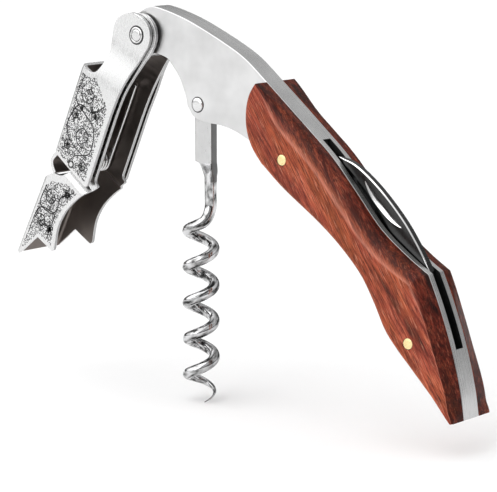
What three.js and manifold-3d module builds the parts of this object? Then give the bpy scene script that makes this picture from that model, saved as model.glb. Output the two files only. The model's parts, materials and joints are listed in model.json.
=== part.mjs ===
// A waiters corkscrew: a flat steel frame with wood scales, a two-stage boot lever, a folding worm
// and a foil knife. Millimetres, +Z up. The tool stands in the XZ plane and its thickness runs along Y.
// Sketches are drawn as [x, z] from the lever pivot, with the levers' own sketches hanging straight down.
import * as THREE from "three";
import { mergeVertices } from "three/addons/utils/BufferGeometryUtils.js";
import Module from "manifold-3d";

const wasm = await Module();
wasm.setup();

// Driving dimensions
const frameHalf = 2.85; // half the thickness of the steel frame
const scaleFace = 7.15; // outer face of each scale, from the mid plane
const scaleRound = 0.35; // rounding of the scales' outer edges
const fit = 0.1; // clearance of each hole around its pin
const wormPivot = [16.4, -15.1];
const knifePivot = [77, -50];
const rivets = { front: [44.5, -24.9], rear: [79.2, -61.2] };
const rivetRadius = 1.2;
const leverPinRadius = 1.9;
const leverPinEnd = 5.6; // half the length of the lever pin
const wormPinRadius = 1.15;
const knifePinRadius = 1.25;

// Levers: bent from sheet, wide below and drawn in towards the ears
const leverLean = THREE.MathUtils.degToRad(24);
const sheet = 0.9;
const leverHalf = 7.1; // outer half width of both levers' full sections
const earHalf = 5.45; // outer half width at the ears
const armGap = 1; // from the first lever's wall to the second lever's arm
const earGap = 0.15; // the same, at the ears
const hinge = [-5.4, -37];
const hingeRadius = 0.6;

// Worm
const helixRadius = 3.07; // to the middle of the wire
const wireRadius = 1.28;
const helixPitch = 8.5;
const helixTurns = 5.1;
const helixTop = -41.4;
const shankRadius = 1.45;
const tangHalf = 1.1;
const wormSlot = 1.45; // half width of the slot the tang folds in

// Knife
const bladeHalf = 0.95;
const knifeSlot = 1.3;

const satin = new THREE.MeshStandardMaterial({ color: 0xc9cbcc, metalness: 1, roughness: 0.35 });
const polished = new THREE.MeshStandardMaterial({ color: 0xdcdddf, metalness: 1, roughness: 0.16 });
const rosewood = new THREE.MeshStandardMaterial({ color: 0x8a3a24, metalness: 0, roughness: 0.45 });
const brass = new THREE.MeshStandardMaterial({ color: 0xd9b45c, metalness: 1, roughness: 0.3 });
const darkSteel = new THREE.MeshStandardMaterial({ color: 0x3c3e40, metalness: 1, roughness: 0.4 });
const nylon = new THREE.MeshStandardMaterial({ color: 0x151515, metalness: 0, roughness: 0.5 });

// A closed shape from a start point and stretches: one point is a straight line, more are a smooth curve.
function outline(start, ...stretches) {
  const shape = new THREE.Shape();
  shape.moveTo(...start);
  for (const points of stretches) {
    if (points.length === 1) {
      shape.lineTo(...points[0]);
    } else {
      shape.splineThru(points.map(([x, z]) => new THREE.Vector2(x, z)));
    }
  }
  return shape;
}

// A shape of the XZ plane made solid between two values of Y, with rounded rims where round is given.
function plate(shape, low, high, round = 0) {
  const geometry = new THREE.ExtrudeGeometry(shape, {
    depth: high - low - 2 * round,
    bevelEnabled: round > 0,
    bevelSize: round,
    bevelOffset: -round,
    bevelThickness: round,
    bevelSegments: 3,
    curveSegments: 3,
  });
  return geometry.translate(0, 0, round).rotateX(Math.PI / 2).translate(0, high, 0);
}

// A cylinder along Y, centred on a point of the XZ plane.
function rod([x, z], radius, low, high, sides = 24) {
  const length = high - low;
  return new THREE.CylinderGeometry(radius, radius, length, sides).translate(x, (low + high) / 2, z);
}

// A pin along Y with a domed head at each end.
function domedPin([x, z], shaftRadius, headRadius, headStart, headEnd) {
  const dome = headEnd - headStart;
  const half = [
    [headRadius, headStart],
    [headRadius * 0.97, headStart + dome * 0.4],
    [headRadius * 0.75, headStart + dome * 0.78],
    [headRadius * 0.4, headStart + dome * 0.95],
    [0, headEnd],
  ];
  const upper = [[shaftRadius, headStart], ...half];
  const lower = upper.map(([r, y]) => [r, -y]).reverse();
  const profile = [...lower, ...upper].map(([r, y]) => new THREE.Vector2(r, y));
  return new THREE.LatheGeometry(profile, 24).translate(x, 0, z);
}

// A disc with a hole, between two values of Y.
function washer([x, z], outer, inner, low, high) {
  const profile = [
    [inner, low],
    [outer, low],
    [outer, high],
    [inner, high],
    [inner, low],
  ].map(([r, y]) => new THREE.Vector2(r, y));
  return new THREE.LatheGeometry(profile, 28).translate(x, 0, z);
}

function solid(geometry) {
  const bare = new THREE.BufferGeometry();
  bare.setAttribute("position", geometry.getAttribute("position"));
  bare.setIndex(geometry.getIndex());
  const merged = mergeVertices(bare, 1e-4);
  return new wasm.Manifold(
    new wasm.Mesh({
      numProp: 3,
      vertProperties: merged.getAttribute("position").array,
      triVerts: new Uint32Array(merged.getIndex().array),
    }),
  );
}

function join(...pieces) {
  return pieces.map(solid).reduce((whole, piece) => whole.add(piece));
}

function surface(manifold) {
  const mesh = manifold.getMesh();
  const geometry = new THREE.BufferGeometry();
  geometry.setAttribute("position", new THREE.BufferAttribute(mesh.vertProperties, 3));
  geometry.setIndex(new THREE.BufferAttribute(mesh.triVerts, 1));
  return geometry;
}

function cut(geometry, ...tools) {
  const left = tools.map(solid).reduce((whole, tool) => whole.subtract(tool), solid(geometry));
  return surface(left);
}

// A wire through points, with a radius that may shrink towards its end.
function wire(points, radiusAt, sides, steps) {
  const curve = new THREE.CatmullRomCurve3(points, false, "centripetal");
  const frames = curve.computeFrenetFrames(steps, false);
  const positions = [];
  const index = [];
  for (let i = 0; i <= steps; i++) {
    const centre = curve.getPointAt(i / steps);
    for (let j = 0; j < sides; j++) {
      const turn = (2 * Math.PI * j) / sides;
      const offset = frames.normals[i].clone().multiplyScalar(Math.cos(turn));
      offset.addScaledVector(frames.binormals[i], Math.sin(turn));
      positions.push(...centre.clone().addScaledVector(offset, radiusAt(i / steps)));
    }
  }
  for (let i = 0; i < steps; i++) {
    for (let j = 0; j < sides; j++) {
      const a = i * sides + j;
      const b = i * sides + ((j + 1) % sides);
      index.push(a, b, b + sides, a, b + sides, a + sides);
    }
  }
  const first = positions.length / 3;
  positions.push(...curve.getPoint(0), ...curve.getPoint(1));
  const last = steps * sides;
  for (let j = 0; j < sides; j++) {
    const next = (j + 1) % sides;
    index.push(first, next, j, first + 1, last + j, last + next);
  }
  const geometry = new THREE.BufferGeometry();
  geometry.setAttribute("position", new THREE.Float32BufferAttribute(positions, 3));
  geometry.setIndex(index);
  return geometry;
}

const body = new THREE.Group();
const levers = new THREE.Group();
levers.rotation.y = leverLean;
body.add(levers);

function piece(group, name, geometry, material) {
  geometry.computeVertexNormals();
  const mesh = new THREE.Mesh(geometry, material);
  mesh.name = name;
  group.add(mesh);
}

// Frame: arched head arm and handle core, slotted for the worm's tang and for the knife
const headRadius = 5.2;
const spine = [
  [84.3, -53.2],
  [81.3, -46.6],
];
const spineArch = [
  [75.8, -43.3],
  [68.7, -38.1],
  [61.8, -30.6],
  [55.5, -23.9],
  [49.1, -18.5],
  [36.8, -8.6],
];
const belly = [
  [44.4, -31.3],
  [54.3, -37.8],
  [60.6, -42.7],
  [65.9, -48],
  [69.4, -53.4],
  [72.5, -59.1],
  [75.6, -62.8],
  [80.6, -67.7],
  [90.2, -77.1],
];
const tail = [[91, -76.9]];
const tailSpine = [[89.9, -70.4], [87.4, -61.4], ...spine];

function frameShape() {
  const shape = outline(
    [3.1, -4.18],
    [[6.5, -4.9], [8.4, -6.3], [10.8, -9.2], [12.6, -13], [13.3, -15.6]],
    [[15.2, -17.9], [18.5, -19], [24.6, -19.5], [31.1, -21.8], [38.4, -26.5], ...belly],
    tail,
    tailSpine,
    [...spineArch, [30.5, -3.8], [24.6, -0.7], [17, 2.6], [11.2, 4.7], [5, 6.3], [1.6, 6.5], [-2, 4.8]],
  );
  shape.absarc(0, 0, headRadius, Math.atan2(4.8, -2), Math.atan2(-4.18, 3.1) + 2 * Math.PI);
  return shape;
}

// The slot the tang swings in, from hanging straight down to lying along the belly.
const wormSlotShape = outline([13.1, -15.1], [[13.1, -32]], [[45, -45]], [[33, -24.6]], [[18.7, -12.6]]);

// The knife slot: a start wall, a floor under the blade, a round pocket at its pivot and a shallow rear run.
const knifeSlotShape = outline(
  [53.6, -17.9],
  [[50.9, -20.9]],
  [[52.6, -27], [54.2, -31.2], [57.4, -33]],
  [[64.2, -40.4], [69.3, -47.3], [71.4, -52], [73.6, -55.4], [77, -56.6]],
  [[80.6, -57.9], [83.2, -60], [86, -62.6]],
  [[95, -60.6]],
  [[92, -40]],
  [[70, -10]],
);
const leafPin = [56.2, -30.6];
const leafPinRadius = 0.55;

piece(
  body,
  "frame",
  cut(
    plate(frameShape(), -frameHalf, frameHalf),
    rod([0, 0], leverPinRadius + fit, -5, 5),
    rod(wormPivot, wormPinRadius + fit, -5, 5),
    rod(wormPivot, 3.3, -wormSlot, wormSlot, 32),
    plate(wormSlotShape, -wormSlot, wormSlot),
    plate(knifeSlotShape, -knifeSlot, knifeSlot),
    rod(knifePivot, knifePinRadius + fit, -5, 5),
    rod(leafPin, leafPinRadius + fit, -5, 5),
    rod(rivets.front, rivetRadius + fit, -5, 5),
    rod(rivets.rear, rivetRadius + fit, -5, 5),
  ),
  satin,
);

// Scales: one rounded wood slab on each side of the core
const scaleShape = outline(
  [36.8, -8.6],
  [[34.5, -11.7], [33.7, -15.7], [34.1, -19.6], [35.7, -23.2], [38.4, -26.5]],
  belly,
  tail,
  tailSpine,
  spineArch,
);
const scaleGap = 0.05;
for (const [side, sign] of [["near", -1], ["far", 1]]) {
  const inner = frameHalf + scaleGap;
  const slab = plate(scaleShape, Math.min(0, sign * scaleFace), Math.max(0, sign * scaleFace), scaleRound);
  const core = new THREE.BoxGeometry(140, 2 * inner, 140);
  core.translate(60, 0, -40);
  const holes = Object.values(rivets).map((place) => rod(place, rivetRadius + fit, -9, 9));
  piece(body, `scale_${side}`, cut(slab, core, ...holes), rosewood);
}
for (const [place, centre] of Object.entries(rivets)) {
  piece(body, `scale_rivet_${place}`, rod(centre, rivetRadius, -scaleFace + 0.03, scaleFace - 0.03), brass);
}

// Head pin and the spacers between the frame and the lever arms
const spacer = [2.95, 3.4];
piece(
  body,
  "lever_pivot_pin",
  domedPin([0, 0], leverPinRadius, leverPinRadius, leverPinEnd - 0.12, leverPinEnd),
  polished,
);
piece(body, "lever_washer_near", washer([0, 0], 4.7, leverPinRadius + fit, -spacer[1], -spacer[0]), nylon);
piece(body, "lever_washer_far", washer([0, 0], 4.7, leverPinRadius + fit, spacer[0], spacer[1]), nylon);

// Half width of a lever at a height, drawn in smoothly from the full section to the ears
function drawnIn(z, full, ear) {
  const share = THREE.MathUtils.smoothstep(-z, 3, 16);
  return ear + (full - ear) * share;
}

// The space between two drawn-in walls, as a solid that runs right through along X.
function planSolid(full, ear) {
  const heights = [9, -3, -5, -7, -9, -11, -13, -16, -75];
  const right = heights.map((z) => [drawnIn(z, full, ear), z]);
  const left = heights.map((z) => [-drawnIn(z, full, ear), z]).reverse();
  const [start, ...rest] = [...right, ...left];
  const shape = outline(start, ...rest.map((point) => [point]));
  const geometry = new THREE.ExtrudeGeometry(shape, { depth: 60, bevelEnabled: false });
  const axes = new THREE.Matrix4().makeBasis(
    new THREE.Vector3(0, 1, 0),
    new THREE.Vector3(0, 0, 1),
    new THREE.Vector3(1, 0, 0),
  );
  return geometry.applyMatrix4(axes).translate(-30, 0, 0);
}

// First lever: ears, two walls with slanted ends, a web, and the curled tongue below it
const webOuter = -11.8;
const firstShape = outline(
  [webOuter, -13.3],
  [[-8.5, -13.9]],
  [[-6.9, -12.9], [-6, -10.1], [-5.7, -7], [-6.4, -4.7], [-7.2, -1.6], [-6.9, 0.9], [-5.4, 2.8]],
  [[-3.4, 4.1], [-0.8, 4.5], [1.8, 3.8], [3.6, 2.1], [4.2, -0.4], [3.5, -3.8], [2.3, -9]],
  [[1.8, -12.5], [1.5, -16.4], [1.25, -21]],
  [[1.25, -38.8]],
  [[0.3, -39.8]],
  [[webOuter, -36.8]],
);
const firstHollow = outline([webOuter + sheet, 10], [[webOuter + sheet, -60]], [[20, -60]], [[20, 10]]);
const tongueShape = outline(
  [-11.8, -35],
  [[-12, -36.8], [-13, -38.5], [-13.4, -40.2], [-12.8, -41.7], [-11.3, -43.1]],
  [[-10.7, -42.4]],
  [[-12, -41.2], [-12.5, -40.1], [-12.1, -38.9], [-11.1, -37.1], [-10.9, -35]],
);
const firstInner = leverHalf - sheet;
const firstEarInner = earHalf - sheet;
const firstSpace = solid(plate(firstHollow, -firstInner, firstInner)).intersect(
  solid(planSolid(firstInner, firstEarInner)),
);
const firstWalls = solid(plate(firstShape, -leverHalf, leverHalf))
  .intersect(solid(planSolid(leverHalf, earHalf)))
  .subtract(firstSpace);
const tongueHalf = 5.2;
const tongueReach = 9.2; // from the hinge, a little past the tongue's far end
piece(
  levers,
  "first_lever",
  surface(
    firstWalls
      .add(solid(plate(tongueShape, -tongueHalf, tongueHalf)))
      .subtract(solid(rod([0, 0], leverPinRadius + fit, -9, 9)))
      .subtract(solid(rod(hinge, hingeRadius + fit, -9, 9, 12))),
  ),
  polished,
);

// Second lever: arms inside the first lever, open hooks round the head pin, a step out, and the claw
const armShape = outline(
  [-3.1, 3.92],
  [[-1.6, 4.75], [0.4, 4.98], [2.6, 4.25], [4.3, 2.55], [5, 0], [4.7, -2.6], [3.6, -6], [2.6, -10]],
  [[1.85, -14], [1.5, -18]],
  [[1.4, -22]],
  [[1.4, -40.4]],
  [[-5.4, -39.6]],
  [[-6.5, -38.5], [-7.2, -37], [-6.9, -35.9], [-5.4, -34.9], [-3.9, -33]],
  [[-3.9, -7]],
  [[-3.1, -4.6]],
);
const armOuter = firstInner - armGap;
const armEarOuter = firstEarInner - earGap;
const armInner = armOuter - sheet;
const armEarInner = armEarOuter - sheet;
const stepShape = outline(
  [-5.4, -38.75],
  [[1.1, -40.35]],
  [[1.45, -39.9]],
  [[1.45, -37.9]],
  [[2.75, -38.7]],
  [[2.75, -39.3]],
  [[1.3, -41.3]],
  [[-5.4, -39.8]],
);
const clawShape = outline(
  [2.75, -38.7],
  [[2.75, -39.3]],
  [[1.3, -41.3], [-0.9, -44.6], [-2.8, -49], [-3.4, -53.6], [-2.5, -58.3]],
  [[-2.6, -59.2], [-3.4, -59.7]],
  [[-8.7, -58.9]],
  [[-12.4, -65.8]],
  [[-13.5, -65.6]],
  [[-12.3, -44.4]],
  [[-9.9, -42], [-7.4, -41.2], [-5.7, -39.7], [-5.4, -38.75]],
  [[1.1, -40.35]],
  [[1.65, -39.9]],
  [[1.65, -38]],
);
const clawHollow = outline([-11.35, -38], [[-12.6, -66.5]], [[20, -66.5]], [[20, -38]]);
const pinClear = leverPinRadius + 0.3;
const pinSlot = outline([0, pinClear], [[-9, pinClear + 1.3]], [[-9, 1.3 - pinClear]], [[0, -pinClear]]);
const arms = solid(plate(armShape, -armOuter, armOuter))
  .intersect(solid(planSolid(armOuter, armEarOuter)))
  .subtract(solid(planSolid(armInner, armEarInner)));
const step = solid(plate(stepShape, -leverHalf, leverHalf)).subtract(solid(planSolid(armInner, armEarInner)));
const claw = solid(plate(clawShape, -leverHalf, leverHalf)).subtract(
  join(plate(clawHollow, -firstInner, firstInner), rod(hinge, tongueReach, -firstInner, firstInner, 48)),
);
piece(
  levers,
  "second_lever",
  surface(
    arms
      .add(step)
      .add(claw)
      .subtract(join(rod([0, 0], pinClear, -9, 9), plate(pinSlot, -9, 9)))
      .subtract(solid(rod(hinge, hingeRadius + fit, -9, 9, 12))),
  ),
  polished,
);
piece(levers, "lever_hinge_pin", rod(hinge, hingeRadius, -leverHalf + 0.05, leverHalf - 0.05, 12), polished);

// Torsion spring on the hinge pin: a long leg up the channel, three turns, and a short leg to the tongue
const springRadius = 2.3;
const springWire = 0.42;
const coilSteps = 12;
const springLeg = [
  [-1.9, 2, -14.3],
  [-2.3, 3.2, -14.9],
  [-2.7, 3.6, -16.2],
  [-2.8, 3.6, -24],
  [-3, 3.6, -31.5],
];
const springPoints = springLeg.map((point) => new THREE.Vector3(...point));
for (let i = 0; i <= 3 * coilSteps + 6; i++) {
  const turn = (2 * Math.PI * i) / coilSteps;
  const across = 3.6 - (0.95 * i) / coilSteps;
  const [x, z] = [hinge[0] + springRadius * Math.cos(turn), hinge[1] - springRadius * Math.sin(turn)];
  springPoints.push(new THREE.Vector3(x, across, z));
}
springPoints.push(new THREE.Vector3(hinge[0] - 2, 0.3, hinge[1] + 3));
springPoints.push(new THREE.Vector3(hinge[0] - 3.4, 0.3, hinge[1] + 7));
piece(levers, "lever_spring", wire(springPoints, () => springWire, 6, 90), polished);

// Worm: flat tang, round shank and a right-handed open helix that ends in a point
const shankX = 17.8;
const tangShape = outline(
  [13.85, -15.1],
  [[13.85, -28.4]],
  [[15.2, -29.1], [16, -30.3], [16.35, -31.8]],
  [[16.35, -33]],
  [[19.2, -33]],
  [[19.2, -15.1]],
);
const helixAxis = shankX - helixRadius;
const wormPoints = [-31, -34, -37].map((z) => new THREE.Vector3(shankX, 0, z));
const helixSteps = 12;
for (let i = 1; i <= helixTurns * helixSteps; i++) {
  const turn = (-2 * Math.PI * i) / helixSteps;
  const height = helixTop - (helixPitch * i) / helixSteps;
  const point = [helixRadius * Math.cos(turn), helixRadius * Math.sin(turn)];
  wormPoints.push(new THREE.Vector3(helixAxis + point[0], point[1], height));
}
function wormRadius(share) {
  const thinned = THREE.MathUtils.lerp(shankRadius, wireRadius, Math.min(1, share * 12));
  const point = THREE.MathUtils.smoothstep(1 - share, -0.02, 0.14);
  return thinned * (0.06 + 0.94 * point);
}
const tang = join(
  plate(tangShape, -tangHalf, tangHalf),
  rod(wormPivot, 2.6, -tangHalf, tangHalf),
  wire(wormPoints, wormRadius, 9, 130),
).subtract(solid(rod(wormPivot, wormPinRadius + fit, -5, 5)));
piece(body, "worm", surface(tang), polished);
piece(body, "worm_pin", domedPin(wormPivot, wormPinRadius, 1.6, frameHalf + 0.03, 3.4), polished);
const wormWasher = [tangHalf + 0.05, wormSlot - 0.05];
const wormHole = wormPinRadius + fit;
piece(body, "worm_washer_near", washer(wormPivot, 2.3, wormHole, -wormWasher[1], -wormWasher[0]), brass);
piece(body, "worm_washer_far", washer(wormPivot, 2.3, wormHole, ...wormWasher), brass);

// Foil knife: arched back, round tang
const bladeShape = outline(
  [55.1, -23.8],
  [[60.3, -25.3], [66.6, -29.7], [72.8, -35.7], [76.8, -40.8], [79.3, -44.6]],
  [[80.2, -46.2]],
  [[80.35, -49.6], [79.3, -52.4], [77, -53.3], [74.7, -52.4], [73.7, -50]],
  [[73.1, -47.2]],
  [[67.6, -39.9], [63.2, -33.9], [59, -28.4], [55.1, -23.8]],
);
piece(
  body,
  "knife_blade",
  cut(plate(bladeShape, -bladeHalf, bladeHalf), rod(knifePivot, knifePinRadius + fit, -5, 5)),
  darkSteel,
);
piece(body, "knife_pin", rod(knifePivot, knifePinRadius, -frameHalf + 0.05, frameHalf - 0.05), polished);
const knifeWasher = [bladeHalf + 0.05, knifeSlot - 0.05];
const knifeHole = knifePinRadius + fit;
piece(body, "knife_washer_near", washer(knifePivot, 2.7, knifeHole, -knifeWasher[1], -knifeWasher[0]), brass);
piece(body, "knife_washer_far", washer(knifePivot, 2.7, knifeHole, ...knifeWasher), brass);

// Back spring: a leaf along the slot's floor, pinned at its front, its free end on the blade's tang
const leafShape = outline(
  [55.1, -30.4],
  [[55.3, -31.4], [56.4, -31.8], [57.6, -31.6]],
  [[64.9, -39.9], [70.3, -46.5], [72.6, -50.8]],
  [[73.3, -50.5]],
  [[70.9, -45.9], [65.6, -39.4], [58.2, -30.9]],
  [[57.4, -29.9], [56.2, -29.5], [55.1, -30.4]],
);
const leafHalf = 1.1;
piece(
  body,
  "back_spring",
  cut(plate(leafShape, -leafHalf, leafHalf), rod(leafPin, leafPinRadius + fit, -5, 5, 12)),
  darkSteel,
);
const leafPinEnd = frameHalf - 0.05;
piece(body, "back_spring_pin", rod(leafPin, leafPinRadius, -leafPinEnd, leafPinEnd, 12), polished);

// The origin is the middle of the whole box's underside
body.updateMatrixWorld(true);
const box = new THREE.Box3().setFromObject(body, true);
const middle = box.getCenter(new THREE.Vector3());
body.position.set(-middle.x, -middle.y, -box.min.z);

export default body;
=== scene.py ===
"""A waiter's corkscrew: the fine meshes, materials, floor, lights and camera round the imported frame.

Sketches are in millimetres, as (x, z) from the lever pivot. The levers' sketches hang straight down
and are turned by their lean when they are placed.
"""

import json
import math
import random

import bmesh
import bpy
from mathutils import Matrix, Vector


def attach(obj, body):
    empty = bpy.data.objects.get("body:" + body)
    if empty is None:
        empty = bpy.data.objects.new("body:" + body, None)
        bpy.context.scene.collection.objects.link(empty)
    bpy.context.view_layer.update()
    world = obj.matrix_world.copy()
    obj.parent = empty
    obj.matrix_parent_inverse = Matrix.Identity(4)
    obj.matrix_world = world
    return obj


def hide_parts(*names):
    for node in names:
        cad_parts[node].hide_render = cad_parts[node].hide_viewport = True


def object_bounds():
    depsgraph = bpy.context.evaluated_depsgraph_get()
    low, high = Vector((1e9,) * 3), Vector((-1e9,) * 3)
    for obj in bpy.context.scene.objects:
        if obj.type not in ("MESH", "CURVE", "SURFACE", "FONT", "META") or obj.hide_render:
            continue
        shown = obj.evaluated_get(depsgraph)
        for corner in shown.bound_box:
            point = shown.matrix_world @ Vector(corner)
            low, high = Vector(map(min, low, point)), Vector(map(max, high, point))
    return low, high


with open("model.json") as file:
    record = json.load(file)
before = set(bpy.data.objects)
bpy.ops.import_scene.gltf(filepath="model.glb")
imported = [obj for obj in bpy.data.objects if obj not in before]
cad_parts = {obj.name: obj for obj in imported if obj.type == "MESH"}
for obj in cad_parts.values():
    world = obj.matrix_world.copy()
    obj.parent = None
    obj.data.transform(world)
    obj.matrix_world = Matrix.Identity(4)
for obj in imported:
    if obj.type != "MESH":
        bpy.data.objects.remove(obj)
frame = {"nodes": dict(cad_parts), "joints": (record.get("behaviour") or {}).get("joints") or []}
cad_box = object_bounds()
joint_place = {joint["name"]: Vector(joint["pos_m"]) for joint in frame["joints"]}

# Places and sizes shared by several pieces, in millimetres
MM = 0.001
TOOL = Matrix.Translation(joint_place["lever_pivot"]) @ Matrix.Scale(MM, 4)
LEVER_LEAN = math.radians(24)
LEVER = TOOL @ Matrix.Rotation(LEVER_LEAN, 4, "Y")
WORM_PIVOT = (16.4, -15.1)
KNIFE_PIVOT = (77.0, -50.0)
HINGE = (-5.4, -37.0)
RIVETS = {"front": (44.5, -24.9), "rear": (79.2, -61.2)}
FRAME_HALF = 2.85
SCALE_FACE = 7.15
SHEET = 0.9
LEVER_HALF = 7.1
EAR_HALF = 5.45
ARM_GAP = 1.0
LEVER_PIN_RADIUS = 1.9
HINGE_HOLE = 0.68
WORM_PIN_HOLE = 1.25
KNIFE_PIN_HOLE = 1.35
RIVET_HOLE = 1.3
PAST_FRAME = 5
PAST_ALL = 9
CURVE_STEPS = 7


# ---- mesh helpers


def smoothstep(value, low, high):
    t = min(max((value - low) / (high - low), 0.0), 1.0)
    return t * t * (3 - 2 * t)


def spline(points, steps=CURVE_STEPS):
    """A smooth curve through points of any dimension, without the first of them."""
    curve = []
    last = len(points) - 1
    for i in range(last):
        around = points[max(i - 1, 0)], points[i], points[i + 1], points[min(i + 2, last)]
        for k in range(1, steps + 1):
            t = k / steps
            curve.append(tuple(
                0.5 * (2 * b + (c - a) * t + (2 * a - 5 * b + 4 * c - d) * t**2
                       + (3 * b - a - 3 * c + d) * t**3)
                for a, b, c, d in zip(*around)
            ))
    return curve


def curve_through(points, steps):
    return [points[0], *spline(points, steps)]


def outline(start, *stretches):
    """A closed path: a stretch of one point is a straight line, one of more points a smooth curve."""
    path = [start]
    for points in stretches:
        path += points if len(points) == 1 else spline([path[-1], *points])
    if math.dist(path[0], path[-1]) < 1e-4:
        path.pop()
    return path


def circle(centre, radius, sides=48, start=0.0, turn=2 * math.pi):
    """Points round a circle, or along an arc with both of its ends."""
    closed = abs(turn) > 6.28
    points = []
    for i in range(sides if closed else sides + 1):
        angle = start + turn * i / sides
        points.append((centre[0] + radius * math.cos(angle), centre[1] + radius * math.sin(angle)))
    return points


def to_object(name, mesh_builder):
    bmesh.ops.recalc_face_normals(mesh_builder, faces=mesh_builder.faces)
    mesh = bpy.data.meshes.new(name)
    mesh_builder.to_mesh(mesh)
    mesh_builder.free()
    piece = bpy.data.objects.new(name, mesh)
    bpy.context.scene.collection.objects.link(piece)
    return piece


def loft(name, rings):
    """A closed body through rings of points, each ring with the same number of points."""
    build = bmesh.new()
    rows = [[build.verts.new(point) for point in ring] for ring in rings]
    for low, high in zip(rows, rows[1:]):
        for i in range(len(low)):
            j = (i + 1) % len(low)
            build.faces.new((low[i], low[j], high[j], high[i]))
    build.faces.new(rows[0])
    build.faces.new(list(reversed(rows[-1])))
    return to_object(name, build)


def prism(path, half):
    """A plate from -half to half, used to cut or join."""
    return loft("tool", [[(x, y, z) for x, z in path] for y in (-half, half)])


def rounded_prism(path, half, edge, name):
    """A plate from -half to half with its outline's edges rounded by edge."""
    normals = inward_normals(path)
    angles = (0, 0.4, 0.8, 1.2, math.pi / 2)
    profile = [(edge * (1 - math.sin(a)), half - edge * (1 - math.cos(a))) for a in angles]
    rings = []
    for inset, y in [(i, -y) for i, y in profile] + list(reversed(profile)):
        rings.append([(x + inset * n.x, y, z + inset * n.y) for (x, z), n in zip(path, normals)])
    return loft(name, rings)


def rod(centre, radius, half):
    return prism(circle(centre, radius), half)


def lathe(name, centre, profile, sides=56):
    """A round body about an axis along Y, from (radius, y) points that end on the axis or go round a ring."""
    build = bmesh.new()
    rows = []
    for radius, y in profile:
        if radius == 0:
            rows.append([build.verts.new((centre[0], y, centre[1]))])
        else:
            rows.append([build.verts.new((x, y, z)) for x, z in circle(centre, radius, sides)])
    closed_ring = len(rows[0]) > 1
    pairs = list(zip(rows, rows[1:]))
    if closed_ring:
        pairs.append((rows[-1], rows[0]))
    for low, high in pairs:
        for i in range(sides):
            j = (i + 1) % sides
            corners = [low[i % len(low)], low[j % len(low)], high[j % len(high)], high[i % len(high)]]
            unique = [v for n, v in enumerate(corners) if v not in corners[:n]]
            if len(unique) > 2:
                build.faces.new(unique)
    return to_object(name, build)


def mirrored(half):
    """A (radius, y) profile that continues on the other side of the tool's middle plane."""
    return [(radius, -y) for radius, y in reversed(half)] + half


def tangents(path):
    """The direction of a path of vectors at each of its points."""
    last = len(path) - 1
    return [(path[min(i + 1, last)] - path[max(i - 1, 0)]).normalized() for i in range(last + 1)]


def run_lengths(path):
    """The way along a path of vectors to each of its points."""
    lengths = [0.0]
    for a, b in zip(path, path[1:]):
        lengths.append(lengths[-1] + (b - a).length)
    return lengths


def round_section(centre, radius, one, other, sides):
    angles = (2 * math.pi * k / sides for k in range(sides))
    return [centre + radius * (math.cos(a) * one + math.sin(a) * other) for a in angles]


def tube(name, points, radius, sides):
    """A round wire along points."""
    path = [Vector(point) for point in points]
    directions = tangents(path)
    side = directions[0].orthogonal().normalized()
    rings = []
    for centre, tangent in zip(path, directions):
        side = (side - tangent * side.dot(tangent)).normalized()
        rings.append(round_section(centre, radius, side, tangent.cross(side), sides))
    return loft(name, rings)


def bake(piece):
    """Applies a piece's modifiers to its mesh."""
    bpy.context.view_layer.update()
    evaluated = piece.evaluated_get(bpy.context.evaluated_depsgraph_get())
    mesh = bpy.data.meshes.new_from_object(evaluated)
    piece.modifiers.clear()
    old = piece.data
    piece.data = mesh
    bpy.data.meshes.remove(old)
    return piece


def combine(base, tools, how="DIFFERENCE"):
    """Cuts the tools from a piece, or joins or intersects them, and removes them."""
    for tool in tools:
        step = base.modifiers.new("step", "BOOLEAN")
        step.object = tool
        step.operation = how
        step.solver = "EXACT"
    bake(base)
    for tool in tools:
        bpy.data.objects.remove(tool)
    return base


def soften(piece, width):
    """Rounds a piece's sharp edges, after joining corners that the cuts left almost in one place."""
    build = bmesh.new()
    build.from_mesh(piece.data)
    bmesh.ops.remove_doubles(build, verts=build.verts, dist=0.03)
    bmesh.ops.dissolve_degenerate(build, edges=build.edges, dist=0.02)
    build.to_mesh(piece.data)
    build.free()
    step = piece.modifiers.new("bevel", "BEVEL")
    step.width = width
    step.segments = 2
    step.limit_method = "ANGLE"
    step.angle_limit = math.radians(38)
    step.use_clamp_overlap = False
    step.miter_outer = "MITER_ARC"
    return bake(piece)


def place(piece, name, body, materials, nodes=(), matrix=TOOL, smooth=32):
    """Moves a finished mesh from its sketch into the frame, names it, hangs it on its body and hides the
    frame's nodes that it replaces.
    """
    piece.name = name
    mesh = piece.data
    mesh.name = name
    mesh.transform(matrix)
    marks = [face.material_index for face in mesh.polygons]
    mesh.materials.clear()
    for material in materials:
        mesh.materials.append(material)
    mesh.polygons.foreach_set("material_index", [min(mark, len(materials) - 1) for mark in marks])
    mesh.shade_smooth()
    mesh.set_sharp_from_angle(angle=math.radians(smooth))
    weighted = piece.modifiers.new("weighted", "WEIGHTED_NORMAL")
    weighted.keep_sharp = True
    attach(piece, body)
    if nodes:
        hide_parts(*nodes)
    return piece


# ---- materials


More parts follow.
